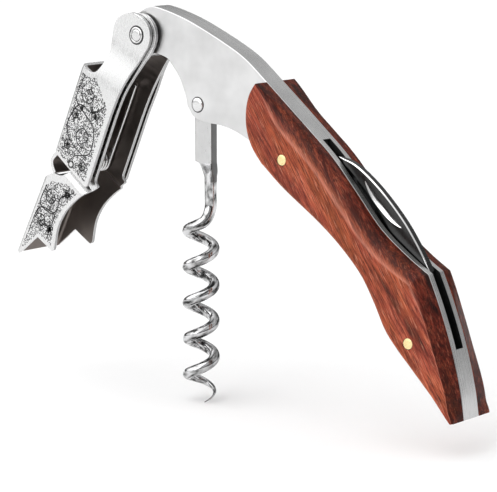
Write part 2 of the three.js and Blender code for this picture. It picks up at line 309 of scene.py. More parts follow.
class Look:
    """A Principled material with a few node shortcuts; lengths are in millimetres."""

    def __init__(self, name, **sockets):
        self.material = bpy.data.materials.new(name)
        self.material.use_nodes = True
        self.tree = self.material.node_tree
        self.shader = self.tree.nodes["Principled BSDF"]
        self.place = self.tree.nodes.new("ShaderNodeTexCoord").outputs["Object"]
        self.fill(self.shader, **sockets)

    def fill(self, node, **sockets):
        for socket, value in sockets.items():
            node.inputs[socket.replace("_", " ")].default_value = value

    def node(self, kind, **settings):
        node = self.tree.nodes.new(kind)
        for key, value in settings.items():
            setattr(node, key, value)
        return node

    def link(self, output, target):
        self.tree.links.new(output, target)

    def mapped(self, size, turn=0.0):
        """Coordinates turned about Y, and measured in steps of size along X, Y and Z."""
        rotated = self.node("ShaderNodeVectorRotate", rotation_type="Y_AXIS")
        rotated.inputs["Angle"].default_value = turn
        self.link(self.place, rotated.inputs["Vector"])
        scaled = self.node("ShaderNodeVectorMath", operation="MULTIPLY")
        scaled.inputs[1].default_value = [1 / (s * MM) for s in size]
        self.link(rotated.outputs[0], scaled.inputs[0])
        return scaled.outputs[0]

    def noise(self, size, detail=3.0, roughness=0.55, turn=0.0, distortion=0.0):
        texture = self.node("ShaderNodeTexNoise")
        self.fill(texture, Scale=1.0, Detail=detail, Roughness=roughness, Distortion=distortion)
        self.link(self.mapped(size, turn), texture.inputs["Vector"])
        return texture.outputs["Fac"]

    def span(self, value, low, high, start=0.3, end=0.7):
        """A factor stretched from start..end to low..high."""
        mapped = self.node("ShaderNodeMapRange")
        self.fill(mapped, From_Min=start, From_Max=end, To_Min=low, To_Max=high)
        self.link(value, mapped.inputs["Value"])
        return mapped.outputs["Result"]

    def ramp(self, value, *stops):
        """Colours by a factor; a stop's colour may be a single grey."""
        ramp = self.node("ShaderNodeValToRGB")
        elements = ramp.color_ramp.elements
        while len(elements) < len(stops):
            elements.new(0.5)
        for element, (position, colour) in zip(elements, stops):
            element.position = position
            element.color = (*(colour if isinstance(colour, tuple) else [colour] * 3), 1)
        self.link(value, ramp.inputs["Fac"])
        return ramp.outputs["Color"]

    def mix(self, factor, first, second, blend="MIX"):
        mix = self.node("ShaderNodeMix", data_type="RGBA", blend_type=blend)
        sockets = (mix.inputs[0], mix.inputs[6], mix.inputs[7])
        for socket, value in zip(sockets, (factor, first, second)):
            if isinstance(value, bpy.types.NodeSocket):
                self.link(value, socket)
            elif isinstance(value, tuple):
                socket.default_value = (*value, 1)
            else:
                socket.default_value = value
        return mix.outputs[2]

    def colour(self, value):
        self.link(value, self.shader.inputs["Base Color"])

    def roughness(self, value):
        self.link(value, self.shader.inputs["Roughness"])

    def bump(self, value, strength, depth):
        bump = self.node("ShaderNodeBump")
        self.fill(bump, Strength=strength, Distance=depth * MM)
        self.link(value, bump.inputs["Height"])
        self.link(bump.outputs["Normal"], self.shader.inputs["Normal"])


def steel(name, shade, rough, grain=(30, 0.07, 30), depth=0.004, tint=(1.0, 1.0, 1.0), spread=0.05):
    """Steel with fine drawn lines: long in two directions of grain and fine in the third."""
    look = Look(name, Metallic=1.0)
    lines = look.noise(grain, detail=4)
    cloud = look.noise((6, 6, 6), detail=2)
    dark = tuple(shade * (1 - spread) * c for c in tint)
    light = tuple(min(shade * (1 + spread), 1) * c for c in tint)
    both = look.mix(0.5, lines, cloud)
    look.colour(look.ramp(both, (0.35, dark), (0.65, light)))
    look.roughness(look.span(lines, rough * 0.85, rough * 1.2))
    look.bump(lines, 0.35, depth)
    return look.material


def painted_band_wire():
    """Polished wire with painted dark reflection bands that follow it, from the share round it and the way
    along it.
    """
    look = Look("polished_worm", Metallic=1.0)
    scaled = look.node("ShaderNodeVectorMath", operation="MULTIPLY")
    scaled.inputs[1].default_value = (7, 0.35, 1)
    look.link(look.node("ShaderNodeUVMap", uv_map="wire").outputs["UV"], scaled.inputs[0])
    streaks = look.node("ShaderNodeTexNoise")
    look.fill(streaks, Scale=1.0, Detail=4.0)
    look.link(scaled.outputs[0], streaks.inputs["Vector"])
    shade = streaks.outputs["Fac"]
    # Painted reflection: the noise turns the wire near black in bands, standing for dark reflections
    look.colour(look.ramp(shade, (0.38, 0.03), (0.46, 0.30), (0.60, (0.66, 0.66, 0.67))))
    look.roughness(look.span(shade, 0.2, 0.08))
    look.bump(shade, 0.3, 0.03)
    return look.material


def rosewood():
    """Polished rosewood: red figure along the handle, dark pores, painted shade on the slopes beside the
    spine, a painted highlight on the crest and painted orange light on the belly side.
    """
    look = Look("rosewood", Coat_Weight=0.07, Coat_Roughness=0.25, Specular_IOR_Level=0.12)
    along = math.radians(-51)
    figure = look.noise((22, 3.0, 2.2), detail=6, roughness=0.66, turn=along, distortion=0.9)
    drift = look.noise((24, 6, 6), detail=2, turn=along)
    fibres = look.noise((5.5, 0.3, 0.22), detail=5, roughness=0.7, turn=math.radians(-57), distortion=0.3)
    pores = look.noise((2.4, 0.2, 0.13), detail=2, turn=math.radians(-57))
    base = look.ramp(figure, (0.34, (0.045, 0.008, 0.005)), (0.43, (0.18, 0.028, 0.015)),
                     (0.54, (0.33, 0.060, 0.032)), (0.68, (0.52, 0.14, 0.072)))
    warm = look.mix(look.span(drift, 0.0, 0.45, 0.45, 0.62), base, (0.42, 0.10, 0.030))
    fibre_shade = look.ramp(fibres, (0.36, (0.34, 0.28, 0.26)), (0.56, 1.05))
    fibred = look.mix(0.85, warm, fibre_shade, "MULTIPLY")
    flecks = look.noise((4.5, 0.34, 0.26), detail=3, turn=math.radians(-61))
    lit = look.mix(look.span(flecks, 0.0, 0.65, 0.56, 0.70), fibred, (0.66, 0.27, 0.17))
    pored = look.mix(look.span(pores, 0.92, 0.0, 0.34, 0.44), lit, (0.030, 0.007, 0.005))
    facing = look.node("ShaderNodeTexCoord").outputs["Normal"]
    towards_spine = look.node("ShaderNodeVectorMath", operation="DOT_PRODUCT")
    towards_spine.inputs[1].default_value = (0.80, 0.0, 0.60)
    look.link(facing, towards_spine.inputs[0])
    slope = towards_spine.outputs["Value"]  # 0 on the broad faces, positive towards the spine
    # Painted highlight: a pale pink band where the faces start to slope towards the spine
    slope_highlight = look.ramp(slope, (0.02, 0), (0.11, 0.42), (0.20, 0.25), (0.36, 0))
    crest = look.mix(slope_highlight, pored, (0.66, 0.28, 0.20))
    # Painted shade: faces sloping towards the spine are multiplied darker, in streaks
    streaks = look.noise((8, 1.3, 0.7), detail=4, roughness=0.7, turn=math.radians(-55), distortion=0.4)
    shadow = look.ramp(streaks, (0.38, (0.17, 0.11, 0.10)), (0.50, (0.34, 0.26, 0.25)),
                       (0.64, (0.66, 0.56, 0.52)))
    dark = look.mix(look.span(slope, 0.0, 1.0, 0.14, 0.5), crest, shadow, "MULTIPLY")
    # Painted light: faces turned towards the belly are mixed towards orange, standing for warm light on that
    # edge
    orange = look.mix(look.span(slope, 0.5, 0.0, -0.75, -0.2), dark, (0.46, 0.12, 0.02))
    look.colour(look.mix(look.span(fibres, 0.5, 0.0, 0.34, 0.5), orange, (0.07, 0.015, 0.008)))
    look.roughness(look.span(fibres, 0.55, 0.36))
    look.bump(fibres, 0.35, 0.03)
    return look.material


def brass():
    look = Look("brass", Metallic=1.0)
    sanding = look.noise((0.9, 5, 0.05), detail=4, turn=0.6)
    look.colour(look.ramp(sanding, (0.3, (0.78, 0.60, 0.27)), (0.7, (0.95, 0.80, 0.45))))
    look.roughness(look.span(sanding, 0.24, 0.4))
    look.bump(sanding, 0.3, 0.004)
    return look.material


def nylon():
    look = Look("black_nylon")
    grain = look.noise((0.15, 0.15, 0.15), detail=3)
    look.colour(look.ramp(grain, (0.3, 0.006), (0.7, 0.022)))
    look.roughness(look.span(grain, 0.3, 0.5))
    look.bump(grain, 0.3, 0.01)
    return look.material


# Black for the engraving, and also for the rings of painted shade round the pins
def engraving_and_shade_black():
    look = Look("engraving_and_painted_shade_line")
    grain = look.noise((0.3, 0.3, 0.3), detail=2)
    look.colour(look.ramp(grain, (0.3, (0.010, 0.010, 0.011)), (0.7, (0.035, 0.034, 0.034))))
    look.roughness(look.span(grain, 0.5, 0.7))
    return look.material


def pale_floor():
    look = Look("pale_floor", Roughness=0.6)
    grain = look.noise((40, 40, 40), detail=2)
    look.colour(look.ramp(grain, (0.3, 0.93), (0.7, 0.95)))
    return look.material


def white_paper():
    """The studio's far wall, evenly lit."""
    black, white = (0, 0, 0, 1), (1, 1, 1, 1)
    look = Look("white_paper", Base_Color=black, Specular_IOR_Level=0.0, Emission_Color=white,
                Emission_Strength=0.97)
    return look.material


frame_steel = steel("satin_steel", 0.61, 0.28, spread=0.12)
# Rougher sheared steel for cut edges, darkened further as painted shade so the edges and the web's bends show
# dark outlines
edge_shade_steel = steel("sheared_edge_painted_shade", 0.42, 0.34, spread=0.15)
lever_steel = steel("bright_steel", 0.69, 0.26, grain=(0.3, 0.3, 1.5), depth=0.001, spread=0.03)
# Painted shade: the levers' inner faces are the same steel, darkened and browned to stand for the shade
# inside the channels
inside_shade_steel = steel("painted_shade_inside", 0.17, 0.40, tint=(1.0, 0.87, 0.80), spread=0.2)
slot_shade_steel = steel("painted_shade_slot", 0.05, 0.5, spread=0.2)
worm_steel = painted_band_wire()
tang_steel = steel("forged_face", 0.55, 0.3, grain=(0.6, 0.6, 2), spread=0.06)
# Painted shade: the tang's faces towards +X are the same steel, darkened because that side lies in shade
tang_side_shade = steel("tang_side_shade", 0.16, 0.3, spread=0.15)
pin_steel = steel("polished_pin", 0.66, 0.20, grain=(0.5, 4, 0.5), depth=0.001)
# Painted reflection: the blade's faces are made near black to stand for the dark surroundings a polished
# blade reflects
blade_steel = steel("blade_face_painted_reflection", 0.06, 0.28, grain=(0.1, 20, 20), depth=0.002, spread=0.15)
# Painted highlight: near-white steel for the blade's bevels along the back and for the nick's rim and lit
# walls
highlight_edge_steel = steel("painted_highlight_edge", 0.95, 0.16, grain=(8, 8, 8), depth=0.001)
spring_steel = steel("spring_steel", 0.62, 0.14, grain=(0.4, 0.4, 0.4), depth=0.002)
wood = rosewood()
rivet_brass = brass()
washer_nylon = nylon()
engraving_and_shade_ink = engraving_and_shade_black()


# ---- frame

FRONT_CORNER = (36.8, -8.6)
BELLY_CORNER = (38.4, -26.5)
KINK = (81.3, -46.6)
TAIL = (91.0, -76.9)
TAIL_HEEL = (90.2, -77.1)
SPINE = [(75.8, -43.3), (68.7, -38.1), (61.8, -30.6), (55.5, -23.9), (49.1, -18.5), FRONT_CORNER]
TAIL_SPINE = [(89.9, -70.4), (87.4, -61.4), (84.3, -53.2), KINK]
BELLY = [(44.4, -31.3), (54.3, -37.8), (60.6, -42.7), (65.9, -48), (69.4, -53.4), (72.5, -59.1),
         (75.6, -62.8), (80.6, -67.7), TAIL_HEEL]
HEAD_RADIUS = 5.2
WORM_SLOT = 1.45
KNIFE_SLOT = 1.3


def frame_outline():
    """From under the head along the belly, round the tail, and back along the spine."""
    path = outline(
        (3.1, -4.18),
        [(6.5, -4.9), (8.4, -6.3), (10.8, -9.2), (12.6, -13), (13.3, -15.6)],
        [(15.2, -17.9), (18.5, -19), (24.6, -19.5), (31.1, -21.8), BELLY_CORNER, *BELLY],
        [TAIL],
        TAIL_SPINE,
        [*SPINE, (30.5, -3.8), (24.6, -0.7), (17, 2.6), (11.2, 4.7), (5, 6.3), (1.6, 6.5), (-2, 4.8)],
    )
    start = math.atan2(4.8, -2)
    end = math.atan2(-4.18, 3.1) + 2 * math.pi
    return path + circle((0, 0), HEAD_RADIUS, 28, start, end - start)[1:-1]


def knife_slot():
    return outline(
        (53.6, -17.9),
        [(50.9, -20.9)],
        [(52.6, -27), (54.2, -31.2), (57.4, -33)],
        [(64.2, -40.4), (69.3, -47.3), (71.4, -52), (73.6, -55.4), (77, -56.6)],
        [(80.6, -57.9), (83.2, -60), (86, -62.6)],
        [(95, -60.6)],
        [(92, -40)],
        [(70, -10)],
    )


def make_frame():
    """The flat body with its holes and slots, painted shade on the slot walls, and a black ring round the
    worm's pin painted as the shade of the gap round it.
    """
    body = rounded_prism(frame_outline(), FRAME_HALF, 0.22, "frame")
    worm_path = [(13.1, -15.1), (13.1, -32), (45, -45), (33, -24.6), (18.7, -12.6)]
    cuts = [
        rod((0, 0), LEVER_PIN_RADIUS + 0.1, PAST_FRAME),
        rod(WORM_PIVOT, WORM_PIN_HOLE, PAST_FRAME),
        rod(WORM_PIVOT, 3.3, WORM_SLOT),
        prism(worm_path, WORM_SLOT),
        prism(knife_slot(), KNIFE_SLOT),
        rod(KNIFE_PIVOT, KNIFE_PIN_HOLE, PAST_FRAME),
        *[rod(centre, RIVET_HOLE, PAST_FRAME) for centre in RIVETS.values()],
    ]
    combine(body, cuts)
    # Painted shade: faces within the slots take the near-black steel
    for face in body.data.polygons:
        in_slot = all(abs(body.data.vertices[i].co.y) < 1.5 for i in face.vertices)
        face.material_index = 1 if in_slot else 0
    place(body, "frame_body", "handle", [frame_steel, slot_shade_steel], ["frame"])
    # Painted shade: a flat black ring round the worm's pin stands for the shade in the gap round it
    build = bmesh.new()
    shade_ring_radius, shade_ring_width = 1.7, 0.26
    ring = circle(WORM_PIVOT, shade_ring_radius, 40)
    for side in (-1, 1):
        inlay(build, [*ring, ring[0]], shade_ring_width, side, FRAME_HALF, 0.0)
    place(to_object("groove", build), "worm_pin_shade_ring", "handle", [engraving_and_shade_ink])


# ---- wood scales


def scale_sections():
    """Points round a scale, each with its wall's top, its facet's inset and top, and its crown's inset."""
    front = outline(FRONT_CORNER, [(34.5, -11.7), (33.7, -15.7), (34.1, -19.6), (35.7, -23.2), BELLY_CORNER])
    belly = spline([BELLY_CORNER, *BELLY])
    tail = spline([TAIL_HEEL, TAIL], 2) + spline([TAIL, *TAIL_SPINE])
    spine = spline([KINK, *SPINE])[:-1]
    sections = []
    for point in front:
        from_corner = smoothstep(math.dist(point, FRONT_CORNER), 0, 5)
        wall = SCALE_FACE - 0.5 - 0.6 * from_corner
        sections.append((point, wall, 0.0, wall, 0.25 + 0.85 * from_corner))
    for point in belly:
        from_heel = smoothstep(math.dist(point, TAIL_HEEL), 0.3, 8)
        wall = SCALE_FACE - 0.35 - 0.95 * from_heel
        sections.append((point, wall, 0.0, wall, 0.35 + 0.95 * from_heel))
    for point in tail:
        from_tail = smoothstep(math.dist(point, TAIL), 0.3, 3)
        near_kink = 1 - smoothstep(math.dist(point, KINK), 0.5, 11)
        width = 0.1 + (0.6 + 0.9 * smoothstep(math.dist(point, TAIL), 3, 18)) * from_tail
        wall = SCALE_FACE - 0.4 - 3.8 * from_tail * (1 - near_kink) - 2.7 * near_kink
        ridge = SCALE_FACE - 0.25 - 2.85 * near_kink
        sections.append((point, wall, width * (1 - near_kink), ridge, 0.35 + 2.6 * near_kink))
    for point in spine:
        near_kink = 1 - smoothstep(math.dist(point, KINK), 0.5, 11)
        from_front = smoothstep(math.dist(point, FRONT_CORNER), 0, 12)
        wall = SCALE_FACE - 0.5 - (2.2 + 0.4 * near_kink) * from_front
        sections.append((point, wall, 0.0, wall, 0.25 + (3.5 - 0.8 * near_kink) * from_front))
    return sections


def inward_normals(path):
    """At each point the direction into a closed path, longer where it turns so that sides stay parallel."""
    area = sum(a[0] * b[1] - b[0] * a[1] for a, b in zip(path, path[1:] + path[:1]))
    hand = 1 if area > 0 else -1
    normals = []
    for i, point in enumerate(path):
        before, after = path[i - 1], path[(i + 1) % len(path)]
        one = Vector((before[1] - point[1], point[0] - before[0])).normalized()
        two = Vector((point[1] - after[1], after[0] - point[0])).normalized()
        middle = (one + two).normalized() * hand
        normals.append(middle / max(middle.dot(one * hand), 0.75))
    return normals


def make_scale(name, side):
    """A wooden scale: straight walls, then a quarter round of varying width up to the flat face."""
    sections = scale_sections()
    path = [point for point, *_ in sections]
    normals = inward_normals(path)
    low = FRAME_HALF + 0.03
    steps = 10
    rings = [[(x, side * low, z) for x, z in path]]
    for k in range(-1, steps + 1):
        ring = []
        for (point, wall, facet, ridge, crown), normal in zip(sections, normals):
            angle = max(k, 0) / steps * math.pi / 2
            inward = facet + crown * (1 - math.cos(angle)) if k >= 0 else 0.0
            height = ridge + (SCALE_FACE - ridge) * math.sin(angle) if k >= 0 else wall
            spot = Vector(point) + normal * inward
            ring.append((spot.x, side * max(height, low + 0.02), spot.y))
        rings.append(ring)
    slab = loft(name, rings)
    combine(slab, [rod(centre, RIVET_HOLE - 0.01, PAST_ALL) for centre in RIVETS.values()])
    place(slab, name + "_wood", "handle", [wood], [name], smooth=28)


def make_rivets():
    end = SCALE_FACE + 0.02
    half = [(1.2, end - 0.16), (1.17, end - 0.06), (1.05, end), (0, end + 0.03)]
    for name, centre in RIVETS.items():
        rivet = lathe("rivet", centre, mirrored(half))
        place(rivet, f"rivet_{name}_brass", "handle", [rivet_brass], [f"scale_rivet_{name}"])


# ---- levers


def drawn_in(z, full, ear):
    """Half width of a lever at a height: full below, narrower at the ears."""
    return ear + (full - ear) * smoothstep(-z, 3, 16)


def channel(half_at, web_at, bend, slant_at=lambda z: 0.0, top=9.0, bottom=-70.0, step=0.8):
    """A long solid with two side walls and a rounded back, open towards +X."""
    rings = []
    count = int((top - bottom) / step)
    for i in range(count + 1):
        z = top + (bottom - top) * i / count
        half, web = half_at(z), web_at(z)
        side = [(web + bend * (1 - math.cos(a)), half - bend * (1 - math.sin(a)))
                for a in (math.pi / 2 * k / 6 for k in range(7))]
        section = [(x, -y) for x, y in reversed(side)] + side
        section = [(30, -half), *section, (30, half)]
        rings.append([(x, y, z - slant_at(z) * (x - HINGE[0])) for x, y in section])
    return loft("channel", rings)


def sheet_body(path, half_at, web_at, bend=1.3, slant_at=lambda z: 0.0):
    """A bent sheet: a profile seen from the side, filled between an outer and an inner channel."""
    outer = channel(half_at, web_at, bend, slant_at)
    inner = channel(lambda z: half_at(z) - SHEET, lambda z: web_at(z) + SHEET, bend - SHEET * 0.8, slant_at,
                    12, -75)
    combine(outer, [prism(path, PAST_ALL)], "INTERSECT")
    return combine(outer, [inner])


def shade_sheet(piece, is_inside):
    """Gives the second material, painted shade, to the faces inside, and the third, steel darkened as painted
    shade, to the cut edges that show and to faces on the outside of the web near its bends.
    """
    for face in piece.data.polygons:
        # Cut edges facing +X and faces on the outside of the web near its bends take the steel darkened as
        # painted shade
        cut = abs(face.normal.y) < 0.3 and face.center.x > -6 and face.normal.x > 0.2
        web = face.normal.x < -0.4 and face.center.x < -9 and abs(face.center.y) > 5
        face.material_index = 1 if is_inside(face.center, face.normal) else 2 if cut or web else 0


FIRST_OUTLINE = outline(
    (-11.8, -13.3),
    [(-8.5, -13.9)],
    [(-6.9, -12.9), (-6, -10.1), (-5.7, -7), (-6.4, -4.7), (-7.2, -1.6), (-6.9, 0.9), (-5.4, 2.8)],
    [(-3.4, 4.1), (-0.8, 4.5), (1.8, 3.8), (3.6, 2.1), (4.2, -0.4), (3.5, -3.8), (2.3, -9)],
    [(1.8, -12.5), (1.5, -16.4), (1.25, -21)],
    [(1.25, -38.8)],
    [(1.15, -39.4), (0.8, -39.7), (0.2, -39.8)],
    [(-11.8, -36.8)],
)
TONGUE = outline(
    (-11.8, -35),
    [(-12, -36.8), (-13, -38.5), (-13.4, -40.2), (-12.8, -41.7), (-11.3, -43.1)],
    [(-10.7, -42.4)],
    [(-12, -41.2), (-12.5, -40.1), (-12.1, -38.9), (-11.1, -37.1), (-10.9, -35)],
)
SECOND_OUTLINE = outline(
    (-3.1, 3.92),
    [(-1.6, 4.75), (0.4, 4.98), (2.6, 4.25), (4.3, 2.55), (5, 0), (4.7, -2.6), (3.6, -6), (2.6, -10)],
    [(1.85, -14), (1.5, -18), (1.4, -22)],
    [(1.4, -37.6)],
    [(1.75, -38.2), (2.45, -38.6), (2.75, -39.1)],
    [(1.3, -41.3), (-0.9, -44.6), (-2.8, -49), (-3.4, -53.6), (-2.5, -58.3)],
    [(-2.45, -59), (-2.9, -59.6), (-3.6, -59.6)],
    [(-8.7, -58.9)],
    [(-12.4, -65.8)],
    [(-13.5, -65.6)],
    [(-12.3, -44.4)],
    [(-9.9, -42), (-7.4, -41.2), (-6.0, -39.9), (-5.7, -39.0)],
    [(-6.5, -38.5), (-7.2, -37), (-6.9, -35.9), (-5.4, -34.9), (-3.9, -33)],
    [(-3.9, -7)],
    [(-3.1, -4.6)],
)


def make_first_lever():
    """The short lever: walls with round ears, and a web that ends in a hooked tongue."""
    lever = sheet_body(FIRST_OUTLINE, lambda z: drawn_in(z, LEVER_HALF, EAR_HALF), lambda z: -11.8)
    combine(lever, [prism(TONGUE, 5.2)], "UNION")
    combine(lever, [rod((0, 0), LEVER_PIN_RADIUS + 0.12, PAST_ALL), rod(HINGE, HINGE_HOLE, PAST_ALL)])
    soften(lever, 0.13)

    # The faces inside the channel, which take the painted shade
    def inside(centre, normal):
        between = abs(centre.y) < drawn_in(centre.z, LEVER_HALF, EAR_HALF) - SHEET + 0.1
        wall = -normal.y * math.copysign(1, centre.y) > 0.6
        web = centre.z < -13.5 and centre.x < -10.5 and normal.x > 0.6
        return between and (wall or web)

    shade_sheet(lever, inside)
    place(lever, "first_lever_sheet", "upper_lever", [lever_steel, inside_shade_steel, edge_shade_steel],
          ["first_lever"], LEVER)


def second_half(z):
    """Half width of the second lever at a height: its arms lie inside the first lever's walls."""
    arm = drawn_in(z, LEVER_HALF - SHEET - ARM_GAP, EAR_HALF - SHEET - 0.15)
    return arm + (SHEET + ARM_GAP) * smoothstep(-z, 38.3, 40.6)


def make_second_lever():
    """The claw lever: two long arms with open hooks at the head, and a wide end cut to teeth."""

    def web(z):
        return -12.3 + (z + 44.4) * 1.2 / 21.2

    lever = sheet_body(SECOND_OUTLINE, second_half, web, slant_at=lambda z: 0.25 * smoothstep(-z, 16, 34))
    clear = LEVER_PIN_RADIUS + 0.3
    hook = [(0, clear), (-9, clear + 1.3), (-9, 1.3 - clear), (0, -clear)]
    swing = circle(HINGE, 9.2, 24, math.radians(107), math.radians(146))
    combine(lever, [
        rod((0, 0), clear, PAST_ALL),
        prism(hook, PAST_ALL),
        rod(HINGE, HINGE_HOLE, PAST_ALL),
        prism(swing, 6.2),
    ])
    soften(lever, 0.13)

    # The faces inside the channel, which take the painted shade
    def inside(centre, normal):
        between = abs(centre.y) < second_half(centre.z) - SHEET + 0.15
        wall = -normal.y * math.copysign(1, centre.y) > 0.6
        return between and (wall or (normal.x > 0.6 and centre.x < -10))

    shade_sheet(lever, inside)
    place(lever, "second_lever_sheet", "lower_lever", [lever_steel, inside_shade_steel, edge_shade_steel],
          ["second_lever"], LEVER)


# ---- engraving


def inside_polygon(point, polygon):
    x, z = point
    crossings = 0
    for (x0, z0), (x1, z1) in zip(polygon, polygon[1:] + polygon[:1]):
        if (z0 > z) != (z1 > z) and x < x0 + (z - z0) * (x1 - x0) / (z1 - z0):
            crossings += 1
    return crossings % 2 == 1


def spiral(centre, start, outer, inner, turns, hand, steps=44):
    """A curl that winds inwards from outer to inner."""
    points = []
    for i in range(steps + 1):
        share = i / steps
        radius = outer * (inner / outer) ** share
        angle = start + hand * 2 * math.pi * turns * share
        points.append((centre[0] + radius * math.cos(angle), centre[1] + radius * math.sin(angle)))
    return points


def leaf(root, angle, length, hand):
    """The two edges and the vein of a curled leaf."""
    strokes = []
    for bulge, width in ((0.34, 0.25), (-0.16, 0.2), (0.08, 0.12)):
        points = []
        for i in range(9):
            t = i / 8
            along = length * t
            turn = angle + hand * 0.75 * t * t
            off = hand * bulge * length * math.sin(math.pi * t)
            points.append((root[0] + along * math.cos(turn) - off * math.sin(turn),
                           root[1] + along * math.sin(turn) + off * math.cos(turn)))
        strokes.append((points, width))
    return strokes


def ring_stroke(centre, radius, sides):
    """A full circle whose last point is its first."""
    return circle(centre, radius, sides) + [(centre[0] + radius, centre[1])]


def rosette(centre, radius, petals):
    """A small ring with petals round it."""
    strokes = [(ring_stroke(centre, radius * 0.3, 10), 0.16)]
    for k in range(petals):
        middle = 2 * math.pi * k / petals
        petal = []
        for i in range(9):
            t = i / 8
            angle = middle + (t - 0.5) * 2 * math.pi / petals
            reach = radius * (0.45 + 0.6 * math.sin(math.pi * t) ** 0.7)
            petal.append((centre[0] + reach * math.cos(angle), centre[1] + reach * math.sin(angle)))
        strokes.append((petal, 0.19))
    return strokes


def scrollwork(panel, scrolls, stems, seed):
    """Strokes that fill a panel: stems, scrolls with rosettes and leaves, and small curls in what is left."""
    chance = random.Random(seed)
    strokes = [(spline([stem[0], *stem], 6), 0.32) for stem in stems]
    for centre, outer, start, hand in scrolls:
        strokes.append((spiral(centre, start, outer, outer * 0.45, 1.05, hand), 0.32))
        if outer > 2:
            strokes += rosette(centre, outer * 0.5, 6)
    for points, _ in list(strokes):
        if len(points) < 20:
            continue
        for i in range(3, len(points) - 2, 4):
            a, b = points[i], points[i + 1]
            run = math.atan2(b[1] - a[1], b[0] - a[0])
            hand = 1 if (i // 4) % 2 else -1
            strokes += leaf(a, run + hand * 0.7, chance.uniform(1.0, 1.7), hand)
    taken = [point for points, _ in strokes for point in points]
    low_x, high_x = min(x for x, _ in panel), max(x for x, _ in panel)
    low_z, high_z = min(z for _, z in panel), max(z for _, z in panel)
    tries, spacing = 5200, 0.3
    for _ in range(tries):
        spot = (chance.uniform(low_x, high_x), chance.uniform(low_z, high_z))
        if not inside_polygon(spot, panel) or min(math.dist(spot, other) for other in taken) < spacing:
            continue
        if chance.random() < 0.55:
            curl = spiral(spot, chance.uniform(0, 6.28), 0.42, 0.16, 0.8, chance.choice((-1, 1)), 8)
        else:
            bend, angle = chance.uniform(-0.9, 0.9), chance.uniform(0, 6.28)
            curl = [(spot[0] + 0.5 * (t - 0.5) * math.cos(angle + bend * t),
                     spot[1] + 0.5 * (t - 0.5) * math.sin(angle + bend * t)) for t in (0, 0.25, 0.5, 0.75, 1)]
        strokes.append((curl, chance.uniform(0.17, 0.25)))
        taken += curl
    return strokes


def make_engraving(name, body, panel, strokes, rings=()):
    """The strokes as shallow black inlays in both outer walls of a lever, and black rings round its pins that
    paint the shade of the gaps there.
    """
    build = bmesh.new()
    for centre, radius, width, half in rings:
        for side in (-1, 1):
            inlay(build, ring_stroke(centre, radius, 40), width, side, half, 0.0)
    for side in (-1, 1):
        for points, width in strokes:
            run = []
            for point in [*points, None]:
                if point is not None and inside_polygon(point, panel):
                    run.append(point)
                    continue
                if len(run) > 2:
                    inlay(build, run, width, side, LEVER_HALF, 0.65)
                run = []
    piece = to_object(name, build)
    place(piece, name, body, [engraving_and_shade_ink], matrix=LEVER)


def inlay(build, points, width, side, half, taper):
    """A flat closed stroke along points, let into the wall at half; taper thins its ends."""
    rows = []
    last = len(points) - 1
    for i, point in enumerate(points):
        ahead, behind = points[min(i + 1, last)], points[max(i - 1, 0)]
        run = Vector((ahead[0] - behind[0], ahead[1] - behind[1]))
        if run.length < 1e-6:
            return
        across = Vector((-run.y, run.x)).normalized() * width / 2
        across *= 1 - taper + taper * math.sin(math.pi * (0.12 + 0.76 * i / last))
        corners = ((across, 0.014), (-across, 0.014), (-across, -0.03), (across, -0.03))
        row = [(point[0] + shift.x, side * (half + y), point[1] + shift.y) for shift, y in corners]
        rows.append([build.verts.new(corner) for corner in row])
    for low, high in zip(rows, rows[1:]):
        for k in range(4):
            build.faces.new((low[k], low[(k + 1) % 4], high[(k + 1) % 4], high[k]))
    build.faces.new(rows[0])
    build.faces.new(list(reversed(rows[-1])))


def make_engravings():
    """Each panel's outline, then its scrolls as (centre, radius, start, hand), and its stems."""
    upper = [(-10.7, -14.9), (-8.6, -15.1), (-6.2, -14.3), (-3.2, -16.6), (0.1, -19.6), (0.2, -39),
             (-10.7, -36.2)]
    scrolls = [((-6.6, -19), 2.7, 2.4, 1), ((-4.4, -29), 2.9, -0.8, -1), ((-8.2, -33.2), 1.5, 1, 1),
               ((-2.6, -22.6), 1.5, 4, -1), ((-8.6, -25.2), 1.6, 0.4, 1), ((-2.2, -35.8), 1.5, 2, -1)]
    stems = [[(-9.6, -15.6), (-10, -21.5), (-6.5, -23.6), (-2.2, -25.6), (-1, -31.5), (-5, -34.5),
              (-6.6, -37.2)],
             [(-1, -19), (-4, -22.4), (-8.6, -22.6), (-10.2, -29), (-6.4, -32.4), (-1, -33.4)]]
    # Painted shade: black rings round the head pin and the hinge hole stand for the shade in the gaps round
    # the pins
    shade_rings = [((0, 0), LEVER_PIN_RADIUS + 0.22, 0.26, EAR_HALF), (HINGE, 0.85, 0.22, LEVER_HALF)]
    strokes = scrollwork(upper, scrolls, stems, seed=11)
    make_engraving("first_lever_engraving", "upper_lever", upper, strokes, shade_rings)
    lower = [(-11, -46), (-9.4, -43.7), (-6.9, -42.9), (-4.6, -41.9), (-0.9, -42.6), (-2.4, -45.6),
             (-4, -49.6), (-4.6, -53.8), (-3.6, -58.6), (-8.5, -57.9), (-11.9, -64), (-12.3, -63.6)]
    scrolls = [((-7.9, -47.6), 2.4, 1, 1), ((-9, -54.6), 2.1, 3.6, -1), ((-5.6, -55), 1.1, 0, 1),
               ((-3.8, -44.4), 1.2, 2.6, -1)]
    stems = [[(-10.6, -45.8), (-10.8, -50.6), (-7.2, -51.4), (-5.4, -51.2), (-5.6, -57.6)],
             [(-2, -43.2), (-5.2, -46.2), (-5.6, -50.4), (-10.6, -51.8), (-11.6, -59.4)]]
    strokes = scrollwork(lower, scrolls, stems, seed=5)
    make_engraving("second_lever_engraving", "lower_lever", lower, strokes)


# ---- pins, washers and spring


